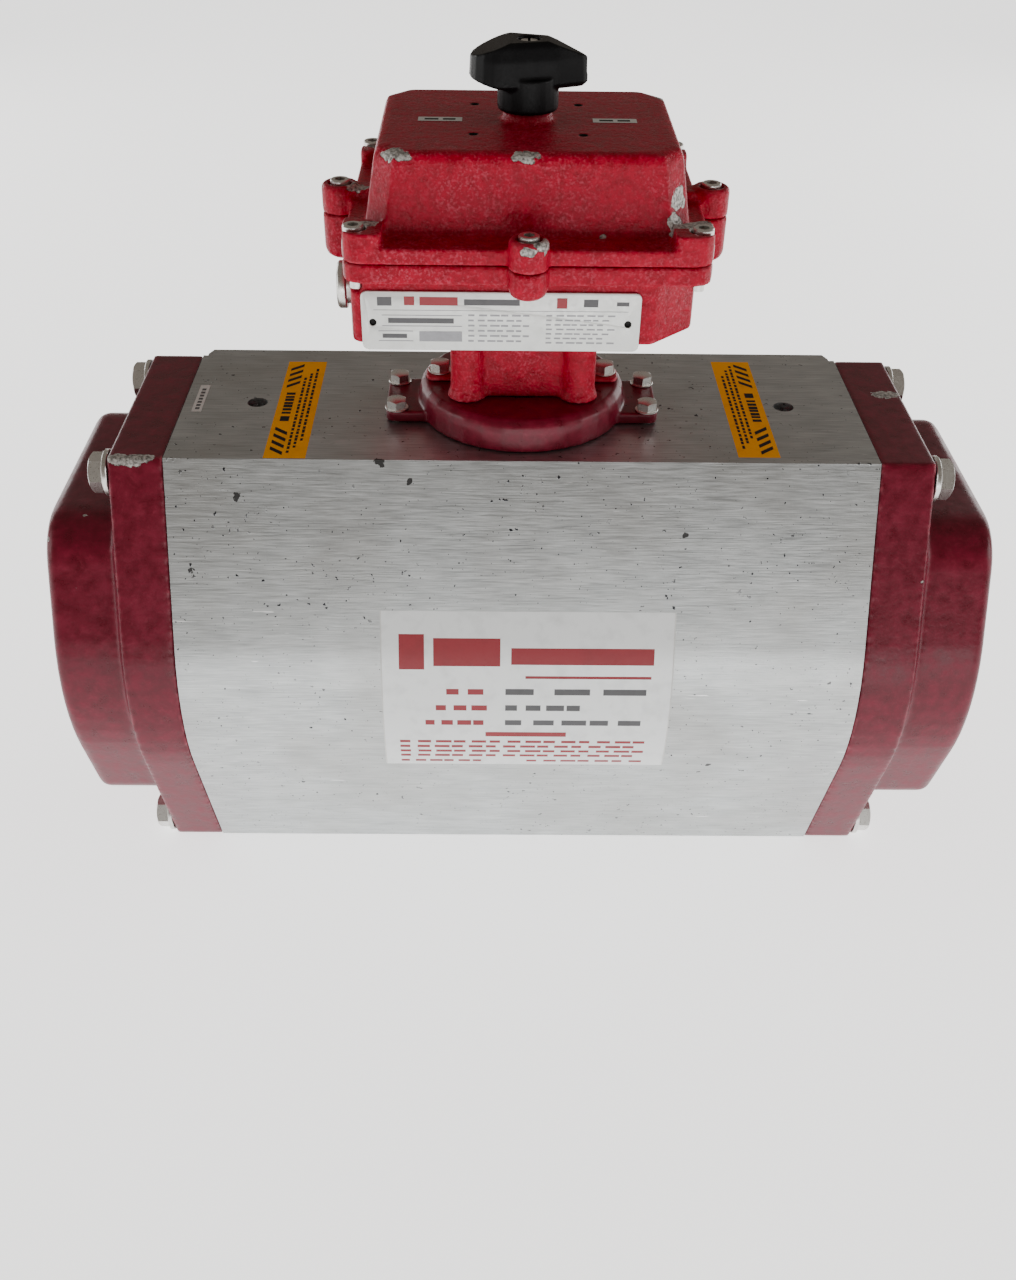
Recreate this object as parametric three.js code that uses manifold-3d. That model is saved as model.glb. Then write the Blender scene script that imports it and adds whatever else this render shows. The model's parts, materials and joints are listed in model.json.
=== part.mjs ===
// Spring-return rack and pinion rotary pneumatic actuator with a position monitor on top.
// Millimetres, +Z up. Origin: centre of the bottom mounting face. X runs along the cylinder,
// -Y is the front. Rest pose: no air, both pistons pushed in by their springs.
import * as THREE from 'three';
import { mergeVertices, toCreasedNormals } from 'three/addons/utils/BufferGeometryUtils.js';
import Module from 'manifold-3d';

const wasm = await Module();
wasm.setup();

// ---------------------------------------------------------------- driving dimensions
const GAP = 0.3;               // clearance between touching pieces
const BODY_HALF = 190;         // half length of the extruded cylinder body
const BODY_TOP = 272;          // height of the body's top face
const FLAT_HALF = 65;          // half width of the flat top and bottom faces
const AXIS_Z = 136;            // height of the cylinder axis
const ARC_R = 111.5;           // outside radius of the body's bulging sides
const BORE_R = 105;            // cylinder bore radius
const BORE_SIDES = 32;         // facets on the bore and on everything that slides in it
const CAP_FLANGE = 220;        // outer face of the end cap's flange
const CAP_END = 259;           // outer face of the spring housing
const HOUSING_TOP = 236.5;     // height of the spring housing's flat top
const HOUSING_LOW = 46;        // height of its flat underside
const CAP_BOLT_R = 6;          // shank radius of the end cap bolts
const MODULE = 4;              // gear module
const TEETH = 20;              // teeth on the pinion
const PITCH_R = MODULE * TEETH / 2;
const PITCH = Math.PI * MODULE;
const PISTON_IN = 86;          // inner face of a piston head at rest
const PISTON_OUT = 112;        // outer face of a piston head at rest
const DISC_TOP = 290;          // top of the round adapter
const BOX_BOTTOM = 338.5;      // underside of the monitor box
const JOINT_Z = 380;           // split line between monitor housing and cover
const COVER_TOP = 425.5;       // top of the monitor cover's plateau
const SHAFT_R = 6;             // monitor shaft radius

// ---------------------------------------------------------------- materials
const paint = (color) => new THREE.MeshStandardMaterial({ color, roughness: 0.35, metalness: 0 });
const metal = (color, roughness = 0.4) => new THREE.MeshStandardMaterial({ color, roughness, metalness: 1 });
const plastic = (color) => new THREE.MeshStandardMaterial({ color, roughness: 0.5, metalness: 0 });
const ALUMINIUM = metal(0xb4b6b8, 0.45);
const CRIMSON = paint(0x8e1024);
const RED_CAST = paint(0xb01428);
const STAINLESS = metal(0xc4c2bc, 0.3);
const STEEL = metal(0x8c8f93, 0.35);
const SPRING_STEEL = metal(0x4a4d52, 0.4);
const BRONZE = metal(0xa9824a, 0.4);
const ACETAL = plastic(0xe8e4d8);
const RUBBER = plastic(0x151515);
const BLACK_PLASTIC = plastic(0x0c0c0d);
const CAM_PLASTIC = plastic(0xd0a020);
const SWITCH_PLASTIC = plastic(0x25282c);

// ---------------------------------------------------------------- solids
const place = {
  x: (u, v, at) => [at, u, v],
  y: (u, v, at) => [v, at, u],
  z: (u, v, at) => [u, v, at],
};

// A closed solid through rings of equal point count, capped at both ends. The rings run
// counter-clockwise seen from the +axis side.
function loft(sections, axis = 'z') {
  const count = sections[0].ring.length;
  const points = [];
  const faces = [];
  for (const { at, ring } of sections) {
    for (const [u, v] of ring) points.push(...place[axis](u, v, at));
  }
  for (let level = 0; level + 1 < sections.length; level++) {
    for (let i = 0; i < count; i++) {
      const a = level * count + i;
      const b = level * count + (i + 1) % count;
      faces.push(a, b, b + count, a, b + count, a + count);
    }
  }
  const caps = [[0, sections[0].ring, true], [(sections.length - 1) * count, sections.at(-1).ring, false]];
  for (const [start, ring, flipped] of caps) {
    const outline = ring.map(([u, v]) => new THREE.Vector2(u, v));
    for (const [a, b, c] of THREE.ShapeUtils.triangulateShape(outline, [])) {
      if (flipped) faces.push(start + a, start + c, start + b);
      else faces.push(start + a, start + b, start + c);
    }
  }
  return solid(new Float32Array(points), new Uint32Array(faces));
}

function solid(vertProperties, triVerts) {
  return new wasm.Manifold(new wasm.Mesh({ numProp: 3, vertProperties, triVerts }));
}

// A straight prism of one outline.
function prism(ring, from, to, axis = 'z') {
  return loft([{ at: from, ring }, { at: to, ring }], axis);
}

function circle(radius, sides, [cu, cv] = [0, 0], turn = 0) {
  return Array.from({ length: sides }, (_, i) => {
    const angle = turn + 2 * Math.PI * i / sides;
    return [cu + radius * Math.cos(angle), cv + radius * Math.sin(angle)];
  });
}

// A turned piece: profile is a list of [radius, position along the axis].
function turned(profile, sides, axis = 'z', centre = [0, 0]) {
  return loft(profile.map(([radius, at]) => ({ at, ring: circle(radius, sides, centre) })), axis);
}

function rod(radius, from, to, sides, axis = 'z', centre = [0, 0]) {
  return turned([[radius, from], [radius, to]], sides, axis, centre);
}

function hexagon(acrossFlats, centre, turn = 0) {
  return circle(acrossFlats / Math.sqrt(3), 6, centre, turn);
}

function rectangle(u0, u1, v0, v1) {
  return [[u0, v0], [u1, v0], [u1, v1], [u0, v1]];
}

function block(x0, x1, y0, y1, z0, z1) {
  return prism(rectangle(x0, x1, y0, y1), z0, z1);
}

// Rounds every corner of an outline to its radius: points are [u, v, radius].
function rounded(points, steps = 4) {
  const out = [];
  points.forEach(([u, v, radius = 0], i) => {
    if (!radius) {
      out.push([u, v]);
      return;
    }
    const here = new THREE.Vector2(u, v);
    const before = new THREE.Vector2(...points.at(i - 1)).sub(here).normalize();
    const after = new THREE.Vector2(...points[(i + 1) % points.length]).sub(here).normalize();
    const half = Math.acos(THREE.MathUtils.clamp(before.dot(after), -1, 1)) / 2;
    const middle = before.clone().add(after).normalize().multiplyScalar(radius / Math.sin(half)).add(here);
    const reach = radius / Math.tan(half);
    const first = before.clone().multiplyScalar(reach).add(here).sub(middle).angle();
    let sweep = after.clone().multiplyScalar(reach).add(here).sub(middle).angle() - first;
    if (sweep > Math.PI) sweep -= 2 * Math.PI;
    if (sweep < -Math.PI) sweep += 2 * Math.PI;
    for (let k = 0; k <= steps; k++) {
      const angle = first + sweep * k / steps;
      out.push([middle.x + radius * Math.cos(angle), middle.y + radius * Math.sin(angle)]);
    }
  });
  return out;
}

function union(...solids) {
  return solids.reduce((all, one) => all.add(one));
}

function cut(base, ...tools) {
  return tools.reduce((left, tool) => left.subtract(tool), base);
}

function geometryOf(manifold) {
  const mesh = manifold.getMesh();
  const geometry = new THREE.BufferGeometry();
  geometry.setAttribute('position', new THREE.BufferAttribute(mesh.vertProperties, 3));
  geometry.setIndex(new THREE.BufferAttribute(mesh.triVerts, 1));
  return toCreasedNormals(mergeVertices(geometry, 1e-4), 0.6);
}

const group = new THREE.Group();

function add(name, manifold, material) {
  const mesh = new THREE.Mesh(geometryOf(manifold), material);
  mesh.name = name;
  group.add(mesh);
}

// ---------------------------------------------------------------- body section
// Slope of the flat facets beside the top face: sideways run for each millimetre of drop.
const TANGENT_Y = 103.2;
const TANGENT_Z = 42.3;
const FACET_SLOPE = (TANGENT_Y - FLAT_HALF) / (BODY_TOP - AXIS_Z - TANGENT_Z);

// Cylinder body outline in (y, z): flat top and bottom, sloping facets, bulging sides.
function bodyOutline(arcSteps) {
  const top = Math.atan2(TANGENT_Z, TANGENT_Y);
  const right = Array.from({ length: arcSteps + 1 }, (_, i) => {
    const angle = -top + 2 * top * i / arcSteps;
    return [ARC_R * Math.cos(angle), AXIS_Z + ARC_R * Math.sin(angle)];
  });
  const left = right.map(([y, z]) => [-y, z]).reverse();
  return [[FLAT_HALF, 0], ...right, [FLAT_HALF, BODY_TOP], [-FLAT_HALF, BODY_TOP], ...left, [-FLAT_HALF, 0]];
}

// Spring housing outline: the body outline moved in, with a lower top and rounded corners.
// The underside is set in a little further than the top.
const HOUSING_INSET = 5.5;
function housingOutline(inset) {
  const edge = Math.hypot(1, FACET_SLOPE);
  const shrink = inset - HOUSING_INSET;
  const top = HOUSING_TOP - shrink;
  const low = HOUSING_LOW + shrink;
  const topCorner = FLAT_HALF - inset * edge + (BODY_TOP - top) * FACET_SLOPE;
  const lowCorner = FLAT_HALF - (inset + 3) * edge + low * FACET_SLOPE;
  const radius = ARC_R - inset;
  const half = Math.atan2(TANGENT_Z, TANGENT_Y);
  const steps = 8;
  const right = Array.from({ length: steps + 1 }, (_, i) => {
    const angle = -half + 2 * half * i / steps;
    return [(radius - 3 * (1 - i / steps)) * Math.cos(angle), AXIS_Z + radius * Math.sin(angle)];
  });
  const left = right.map(([y, z]) => [-y, z]).reverse();
  return rounded([
    [lowCorner, low, 14], ...right, [topCorner, top, 30], [-topCorner, top, 30], ...left, [-lowCorner, low, 14],
  ], 6);
}

const CAP_BOLTS = [[-57, 259], [57, 259], [-57, 13], [57, 13]];
const EAR_BOLTS = [[-69, -17], [69, -17], [69, 17], [-69, 17]];
const VALVE_BOLTS = [[-49.5, -49.5], [49.5, -49.5], [49.5, 49.5], [-49.5, 49.5]];
const PLUGS = [[-149, 2], [149, 2]];
const STOPS = [-45, 45];
const PAD_Y = 86;              // face of the rear pad that carries ports and travel stops
const PAD_Z = 241;             // height of the ports and travel stops

// ---------------------------------------------------------------- cylinder body
function cylinderBody() {
  let body = prism(bodyOutline(8), -BODY_HALF, BODY_HALF, 'x');
  const padOutline = [[-190, 40], [190, 40], [190, 80], [187.5, PAD_Y], [-187.5, PAD_Y], [-190, 80]];
  const pad = prism(padOutline, 216, 266.5);
  body = union(body, pad);
  const tools = [rod(BORE_R / Math.cos(Math.PI / BORE_SIDES), -200, 200, BORE_SIDES, 'x', [0, AXIS_Z])];
  tools.push(rod(47, -5, 60, 32), rod(27, 225, 280, 24));
  for (const [y, z] of CAP_BOLTS) {
    for (const from of [-200, 150]) tools.push(rod(CAP_BOLT_R + 0.4, from, from + 50, 12, 'x', [y, z]));
  }
  for (const centre of VALVE_BOLTS) tools.push(rod(7, -5, 26, 12, 'z', centre));
  for (const centre of EAR_BOLTS) tools.push(rod(3.4, 256, 280, 8, 'z', centre));
  for (const centre of PLUGS) tools.push(rod(5.8, 262, 280, 16, 'z', centre));
  for (const x of [-12, 12]) tools.push(rod(6.4, 66, 95, 16, 'y', [PAD_Z, x]));
  for (const x of [-12, 12]) {
    for (const z of [PAD_Z - 16, PAD_Z + 16]) tools.push(rod(2.1, 78, 95, 8, 'y', [z, x]));
  }
  for (const x of STOPS) tools.push(rod(5.4, 60, 95, 12, 'y', [PAD_Z, x]));
  return cut(body, ...tools);
}
add('cylinder_body', cylinderBody(), ALUMINIUM);

PLUGS.forEach((centre, i) => {
  const plug = rod(5.5, 263, 268.6, 16, 'z', centre);
  const slot = block(centre[0] - 0.8, centre[0] + 0.8, centre[1] - 7, centre[1] + 7, 266.6, 273);
  add(`top_plug_${['left', 'right'][i]}`, cut(plug, slot), STEEL);
});

STOPS.forEach((x, i) => {
  const side = ['left', 'right'][i];
  const socket = prism(hexagon(5, [PAD_Z, x]), 99, 105, 'y');
  add(`travel_stop_screw_${side}`, cut(rod(5, 62, 104, 12, 'y', [PAD_Z, x]), socket), STAINLESS);
  const nut = prism(hexagon(17, [PAD_Z, x]), PAD_Y + GAP, PAD_Y + 6, 'y');
  add(`stop_locknut_${side}`, cut(nut, rod(5.4, 80, 100, 12, 'y', [PAD_Z, x])), STAINLESS);
});

// ---------------------------------------------------------------- end caps and their bolts
// side is +1 for the right cap and -1 for the left; every cap part is built on the right
// and turned half a turn about Z, so the two ends are the same part.
function turnedAbout(manifold, side) {
  return side > 0 ? manifold : manifold.rotate([0, 0, 180]);
}

function endCap() {
  const flange = prism(bodyOutline(8), BODY_HALF + GAP, CAP_FLANGE, 'x');
  const housing = loft([
    { at: CAP_FLANGE - 5, ring: housingOutline(HOUSING_INSET) },
    { at: CAP_END - 5, ring: housingOutline(HOUSING_INSET) },
    { at: CAP_END - 1.5, ring: housingOutline(HOUSING_INSET + 1.5) },
    { at: CAP_END, ring: housingOutline(HOUSING_INSET + 4.5) },
  ], 'x');
  const spigot = rod(104.4, 182, BODY_HALF + 2, BORE_SIDES, 'x', [0, AXIS_Z]);
  const cavity = turned([[82, 170], [82, 244], [76, 250]], 32, 'x', [0, AXIS_Z]);
  let cap = cut(union(flange, housing, spigot), cavity);
  for (const [y, z] of CAP_BOLTS) cap = cut(cap, rod(CAP_BOLT_R + 0.4, 180, 230, 12, 'x', [y, z]));
  return cap;
}

function capBolt(y, z) {
  const head = turned([[11, 223], [11, 230], [9.6, 231]], 6, 'x', [y, z]);
  const washer = rod(12.6, CAP_FLANGE + GAP, 223.3, 16, 'x', [y, z]);
  return union(head, washer, rod(CAP_BOLT_R, 160, 223, 8, 'x', [y, z]));
}

for (const [side, name] of [[-1, 'left'], [1, 'right']]) {
  add(`${name}_end_cap`, turnedAbout(endCap(), side), CRIMSON);
  CAP_BOLTS.forEach(([y, z], i) => {
    add(`${name}_cap_bolt_${i + 1}`, turnedAbout(capBolt(y, z), side), STAINLESS);
  });
}

// ---------------------------------------------------------------- pistons, racks and springs
// Rack tooth outline in (x, y) for the right piston, whose rack lies in front of the pinion.
function rackOutline() {
  const half = 2.8;
  const slope = Math.tan(THREE.MathUtils.degToRad(20));
  const outline = [[PISTON_IN + 2, -92], [PISTON_IN + 2, -45]];
  for (let k = 0; k >= -6; k--) {
    const centre = (k + 0.5) * PITCH;
    outline.push([centre + half + 5 * slope, -45], [centre + half - 4 * slope, -36]);
    outline.push([centre - half + 4 * slope, -36], [centre - half - 5 * slope, -45]);
  }
  outline.push([-82, -45], [-82, -92]);
  return outline;
}

function piston() {
  const centre = [0, AXIS_Z];
  const head = turned([[103, PISTON_IN], [104.4, PISTON_IN + 1.5], [104.4, PISTON_OUT - 1.5], [103, PISTON_OUT]],
    BORE_SIDES, 'x', centre);
  const groove = cut(rod(110, 100, 104, BORE_SIDES, 'x', centre), rod(101, 99, 105, BORE_SIDES, 'x', centre));
  const recess = rod(60, PISTON_OUT - 8, PISTON_OUT + 5, 32, 'x', centre);
  const rack = prism(rackOutline(), AXIS_Z - 28, AXIS_Z + 28);
  const pocket = block(-40, -20, -95, -89.6, AXIS_Z - 20, AXIS_Z + 20);
  return cut(union(cut(head, groove, recess), rack), pocket);
}

function pistonSeal() {
  const centre = [0, AXIS_Z];
  const ring = turned([[103.6, 100.4], [104.6, 102], [103.6, 103.6]], BORE_SIDES, 'x', centre);
  return cut(ring, rod(101.5, 95, 110, BORE_SIDES, 'x', centre));
}

// Acetal pad let into the back of the rack, which slides on the bore wall.
function guideShoe() {
  const ring = rod(104.4, -39.6, -20.4, BORE_SIDES, 'x', [0, AXIS_Z]);
  return ring.intersect(block(-39.6, -20.4, -110, -89.9, AXIS_Z - 19.6, AXIS_Z + 19.6));
}

// A coil of round wire about the cylinder axis, its closed end turns flat against the seats.
function coilSpring(coilRadius, wireRadius, turns) {
  const from = PISTON_OUT - 8 + wireRadius + GAP;
  const to = 250 - wireRadius - GAP;
  const perTurn = 10;
  const sides = 4;
  const steps = turns * perTurn;
  const points = [];
  const faces = [];
  for (let i = 0; i <= steps; i++) {
    const angle = 2 * Math.PI * i / perTurn;
    const share = THREE.MathUtils.smoothstep(i / steps, 0.06, 0.94);
    const x = THREE.MathUtils.lerp(from, to, 0.25 * i / steps + 0.75 * share);
    for (let k = 0; k < sides; k++) {
      const around = 2 * Math.PI * k / sides;
      const radius = coilRadius + wireRadius * Math.cos(around);
      points.push(x + wireRadius * Math.sin(around), radius * Math.cos(angle), AXIS_Z + radius * Math.sin(angle));
    }
  }
  for (let i = 0; i < steps; i++) {
    for (let k = 0; k < sides; k++) {
      const a = i * sides + k;
      const b = i * sides + (k + 1) % sides;
      faces.push(a, a + sides, b + sides, a, b + sides, b);
    }
  }
  for (let k = 1; k + 1 < sides; k++) {
    const last = steps * sides;
    faces.push(0, k, k + 1, last, last + k + 1, last + k);
  }
  return solid(new Float32Array(points), new Uint32Array(faces));
}

for (const [side, name] of [[-1, 'left'], [1, 'right']]) {
  add(`${name}_piston`, turnedAbout(piston(), side), ALUMINIUM);
  add(`${name}_piston_seal`, turnedAbout(pistonSeal(), side), RUBBER);
  add(`${name}_guide_shoe`, turnedAbout(guideShoe(), side), ACETAL);
  add(`${name}_outer_spring`, turnedAbout(coilSpring(50, 5, 6), side), SPRING_STEEL);
  add(`${name}_inner_spring`, turnedAbout(coilSpring(31, 3.6, 6), side), SPRING_STEEL);
}

// ---------------------------------------------------------------- pinion and its bearings
// Involute tooth outline of the pinion, one tooth pointing at -Y.
function pinionOutline() {
  const baseRadius = PITCH_R * Math.cos(THREE.MathUtils.degToRad(20));
  const involute = (radius) => {
    const a = Math.acos(Math.min(1, baseRadius / radius));
    return Math.tan(a) - a;
  };
  const halfAtPitch = 2.8 / PITCH_R;
  const flank = [37.7, 40.6, 43.9];
  const outline = [];
  for (let tooth = 0; tooth < TEETH; tooth++) {
    const centre = -Math.PI / 2 + 2 * Math.PI * tooth / TEETH;
    const offsets = flank.map((radius) => [radius, halfAtPitch + involute(PITCH_R) - involute(radius)]);
    const rootOffset = offsets[0][1] + 0.004;
    const rising = [[35, rootOffset], ...offsets];
    for (const [radius, offset] of rising) {
      outline.push([radius * Math.cos(centre - offset), radius * Math.sin(centre - offset)]);
    }
    for (const [radius, offset] of [...rising].reverse()) {
      outline.push([radius * Math.cos(centre + offset), radius * Math.sin(centre + offset)]);
    }
  }
  return outline;
}

function pinion() {
  const gear = prism(pinionOutline(), AXIS_Z - 30, AXIS_Z + 30);
  const shaft = turned([
    [43.4, 1], [44, 1.6], [44, 40], [33, 44], [33, 226], [24, 230], [24, 284], [20, 286], [20, 295],
  ], 32);
  const clip = cut(rod(40, 275.4, 278.4, 24), rod(22, 275, 279, 24));
  const socket = block(-18, 18, -18, 18, -5, 42);
  const slot = block(-30, 30, -2.4, 2.4, 287, 300);
  return cut(union(gear, shaft), clip, socket, slot);
}

function ring(outer, inner, from, to, sides = 32) {
  return cut(rod(outer, from, to, sides), rod(inner, from - 5, to + 5, sides));
}

add('pinion', pinion(), STEEL);
add('lower_bearing', ring(46.6, 44.4, 2, 30), ACETAL);
add('upper_bearing', ring(26.6, 24.4, 244, 270, 24), ACETAL);
add('thrust_washer', ring(33, 24.5, 272.4, 275), BRONZE);
add('snap_ring', cut(ring(31, 22.4, 275.7, 278.1), block(18, 40, -4, 4, 270, 280)), SPRING_STEEL);

// ---------------------------------------------------------------- adapter
function adapter() {
  const disc = turned([
    [57, 272.3], [57, 283], [56.2, 287], [53, DISC_TOP],
  ], 32);
  const ears = prism(rounded([[-75, -22, 4], [75, -22, 4], [75, 22, 4], [-75, 22, 4]], 2), 272.3, 278.5);
  const tools = [rod(36, 270, 284, 32), rod(26, 280, 295, 32)];
  for (const centre of EAR_BOLTS) tools.push(rod(3.4, 270, 280, 8, 'z', centre));
  for (const x of [-45.5, 45.5]) tools.push(rod(3.4, 280, 295, 8, 'z', [x, 0]));
  return cut(union(disc, ears), ...tools);
}
add('adapter', adapter(), CRIMSON);

function smallBolt([x, y], seat, depth) {
  const head = prism(hexagon(10, [x, y]), seat + GAP, seat + 5.8);
  return union(head, rod(3, seat - depth, seat + 1, 8, 'z', [x, y]));
}
EAR_BOLTS.forEach((centre, i) => add(`adapter_bolt_${i + 1}`, smallBolt(centre, 278.5, 20), STAINLESS));

// ---------------------------------------------------------------- monitor housing
const COVER_SCREWS = [
  [-82.5, -67], [0, -79.4], [82.5, -67], [94.5, 0], [82.5, 67], [0, 79.4], [-82.5, 67], [-94.5, 0],
];
const SIDE_LUGS = [[0, -79.4], [94.5, 0], [0, 79.4], [-94.5, 0]];
const FLANGE = rounded([[-88.5, -77.5, 9.5], [88.5, -77.5, 9.5], [88.5, 77.5, 9.5], [-88.5, 77.5, 9.5]], 3);
const LUG_R = 9.75;
const PLUG_Y = -38;            // conduit plug position on the left side
const PLUG_Z = 356;

function monitorHousing() {
  const box = prism(rounded([
    [-86, -70, 6], [62, -70, 4], [84, -48, 4], [84, 70, 8], [-86, 70, 8],
  ], 3), BOX_BOTTOM, 372);
  const flange = prism(FLANGE, 371, JOINT_Z);
  const lugs = SIDE_LUGS.map(([x, y]) => {
    const low = x === 0 ? 366 : 357;
    return turned([[5, low], [8.5, low + 2], [LUG_R, low + 5], [LUG_R, JOINT_Z]], 16, 'z', [x, y]);
  });
  const tower = block(-33, 33, -27, 27, DISC_TOP + GAP, BOX_BOTTOM + 1);
  const pillars = [[-30, -25], [30, -25], [30, 25], [-30, 25]].map((centre) => turned([
    [11, DISC_TOP + GAP], [9, 296], [9, 333], [11, BOX_BOTTOM + 1],
  ], 16, 'z', centre));
  const feet = prism(rounded([[-53, -9, 4], [53, -9, 4], [53, 9, 4], [-53, 9, 4]], 2), DISC_TOP + GAP, 293);
  const tools = [
    prism(rounded([[-79, -63, 5], [59, -63, 4], [77, -45, 4], [77, 63, 5], [-79, 63, 5]], 2), 346, 385),
    prism(rounded([[-28, -22, 5], [28, -22, 5], [28, 22, 5], [-28, 22, 5]], 2), 285, BOX_BOTTOM - 3),
    rod(6.4, 330, 350, 16),
    rod(9.6, -95, -70, 20, 'x', [PLUG_Y, PLUG_Z]),
  ];
  for (const x of [-45.5, 45.5]) tools.push(rod(3.4, 285, 295, 8, 'z', [x, 0]));
  for (const centre of COVER_SCREWS) tools.push(rod(3.5, 364, 385, 6, 'z', centre));
  return cut(union(box, flange, ...lugs, tower, ...pillars, feet), ...tools);
}
add('monitor_housing', monitorHousing(), RED_CAST);
[-45.5, 45.5].forEach((x, i) => {
  add(`pedestal_bolt_${['left', 'right'][i]}`, smallBolt([x, 0], 293, 10), STAINLESS);
});

// ---------------------------------------------------------------- monitor cover
function plateauOutline(halfX, halfY) {
  const corner = [10, 11.5];
  return [
    [halfX - corner[0], -halfY], [halfX, -halfY + corner[1]], [halfX, halfY - corner[1]],
    [halfX - corner[0], halfY], [-halfX + corner[0], halfY], [-halfX, halfY - corner[1]],
    [-halfX, -halfY + corner[1]], [-halfX + corner[0], -halfY],
  ];
}

function monitorCover() {
  const bottom = JOINT_Z + GAP;
  const flange = prism(FLANGE, bottom, 388);
  const plateau = loft([
    { at: 387, ring: plateauOutline(79, 58) },
    { at: 421.5, ring: plateauOutline(73, 57.4) },
    { at: 424.5, ring: plateauOutline(71.4, 56) },
    { at: COVER_TOP, ring: plateauOutline(68.6, 53.4) },
  ]);
  const corners = [[-1, -1], [1, -1], [1, 1], [-1, 1]].map(([sx, sy]) => {
    const pad = rounded([[69, 58.5, 0], [88.5, 50.5, 3], [88.5, 77.5, 9.5], [69, 77.5, 3]], 3);
    const outline = pad.map(([x, y]) => [sx * x, sy * y]);
    return prism(sx * sy > 0 ? outline : outline.reverse(), 387, 394.5);
  });
  const lugs = SIDE_LUGS.map((centre) => turned([
    [LUG_R, bottom], [LUG_R, 393], [LUG_R - 1.5, 394.5],
  ], 16, 'z', centre));
  const bridges = [block(76, 94.5, -7, 7, bottom, 393), block(-94.5, -76, -7, 7, bottom, 393)];
  const boss = turned([[12.5, 424], [12.5, 428.8], [11.5, 430]], 24);
  const cavity = loft([
    { at: 375, ring: plateauOutline(72, 51) },
    { at: 418.5, ring: plateauOutline(66, 50) },
  ]);
  const tools = [cavity, rod(6.4, 410, 440, 16)];
  for (const centre of COVER_SCREWS) {
    tools.push(rod(3.5, 370, 400, 6, 'z', centre), rod(6.2, 389.5, 400, 10, 'z', centre));
  }
  for (const x of [-26.3, 26.3]) {
    for (const y of [-26.3, 26.3]) tools.push(rod(2, 423, 430, 8, 'z', [x, y]));
  }
  return cut(union(flange, plateau, ...corners, ...lugs, ...bridges, boss), ...tools);
}
add('monitor_cover', monitorCover(), RED_CAST);

COVER_SCREWS.forEach(([x, y], i) => {
  const head = rod(5, 389.9, 395.8, 10, 'z', [x, y]);
  const screw = union(head, rod(3, 366, 391, 6, 'z', [x, y]));
  add(`cover_screw_${i + 1}`, cut(screw, prism(hexagon(5, [x, y]), 393, 400)), STAINLESS);
});

// ---------------------------------------------------------------- monitor shaft, cams, switches
function shaftCoupler() {
  const hub = turned([[15, 295.5], [16, 296.5], [16, 322], [15, 323]], 24);
  const tongue = block(-15, 15, -2, 2, 288, 297);
  const bore = rod(SHAFT_R + 0.4, 305, 330, 16);
  return cut(union(hub, tongue), bore);
}
add('shaft_coupler', shaftCoupler(), STEEL);
add('monitor_shaft', cut(rod(SHAFT_R, 306, 452, 16), rod(2.5, 436, 460, 8)), STAINLESS);

// A switch cam: a round hub with a raised lobe centred on the given angle.
function cam(from, lobeAngle) {
  const outline = Array.from({ length: 32 }, (_, i) => {
    const angle = 2 * Math.PI * i / 32;
    const away = Math.abs(Math.atan2(Math.sin(angle - lobeAngle), Math.cos(angle - lobeAngle)));
    const radius = THREE.MathUtils.lerp(19, 14, THREE.MathUtils.smoothstep(away, 0.45, 0.75));
    return [radius * Math.cos(angle), radius * Math.sin(angle)];
  });
  return cut(prism(outline, from, from + 7), rod(SHAFT_R + 0.4, from - 5, from + 12, 16));
}
add('lower_cam', cam(352, 0), CAM_PLASTIC);
add('upper_cam', cam(362, -Math.PI / 2), CAM_PLASTIC);

function limitSwitches() {
  const pair = [352, 362].map((z) => union(
    block(24, 44, -7, 7, z - 1, z + 8),
    rod(1.6, 20, 25, 8, 'x', [0, z + 3.5]),
  ));
  return union(...pair, block(34, 44, -7, 7, 351, 370));
}
add('limit_switches', limitSwitches(), SWITCH_PLASTIC);
add('switch_bracket', union(block(44.4, 46.4, -16, 16, 346.3, 374), block(44.4, 60, -16, 16, 346.3, 348.3)), STEEL);

// ---------------------------------------------------------------- knob, plug and nameplate
// The pointer's blade: a tip on one side of the axis and a round lobe on the other.
function bladeOutline(grow) {
  const lobe = Array.from({ length: 13 }, (_, i) => {
    const angle = Math.PI - 1.95 + 3.9 * i / 12;
    return [-13 + (16 + grow) * Math.cos(angle), (16 + grow) * Math.sin(angle)];
  });
  const tip = 2.4 + 0.4 * grow;
  return [...lobe, [14, -8.6 - grow], [27 + grow, -tip], [29 + grow, 0], [27 + grow, tip], [14, 8.6 + grow]];
}

function pointerKnob() {
  const hub = turned([[14.4, 430.5], [15, 431.5], [15, 446]], 32);
  const blade = loft([
    { at: 441, ring: bladeOutline(-2.5) },
    { at: 443, ring: bladeOutline(0) },
    { at: 454, ring: bladeOutline(-0.6) },
    { at: 460, ring: bladeOutline(-1.8) },
    { at: 462, ring: bladeOutline(-3.4) },
  ]);
  // The blade's top falls away from the middle to both ends, and its underside rises to the lobe.
  const roof = [[446, -31], [454, -31], [462.5, -8], [462.5, 8], [453.5, 31], [440, 31], [440, -4]];
  const shaped = blade.intersect(prism(roof, -20, 20, 'y'));
  return cut(union(hub, shaped), rod(SHAFT_R + 0.4, 425, 453, 16), rod(5.6, 457, 465, 16), rod(3, 450, 460, 12));
}
add('pointer_knob', pointerKnob(), BLACK_PLASTIC);

function knobScrew() {
  const head = turned([[5.2, 457.4], [5.2, 459.6], [4, 461.2]], 16);
  return cut(union(head, rod(2, 440, 458, 8)), block(-0.7, 0.7, -8, 8, 459.8, 465));
}
add('knob_screw', knobScrew(), STAINLESS);

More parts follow.
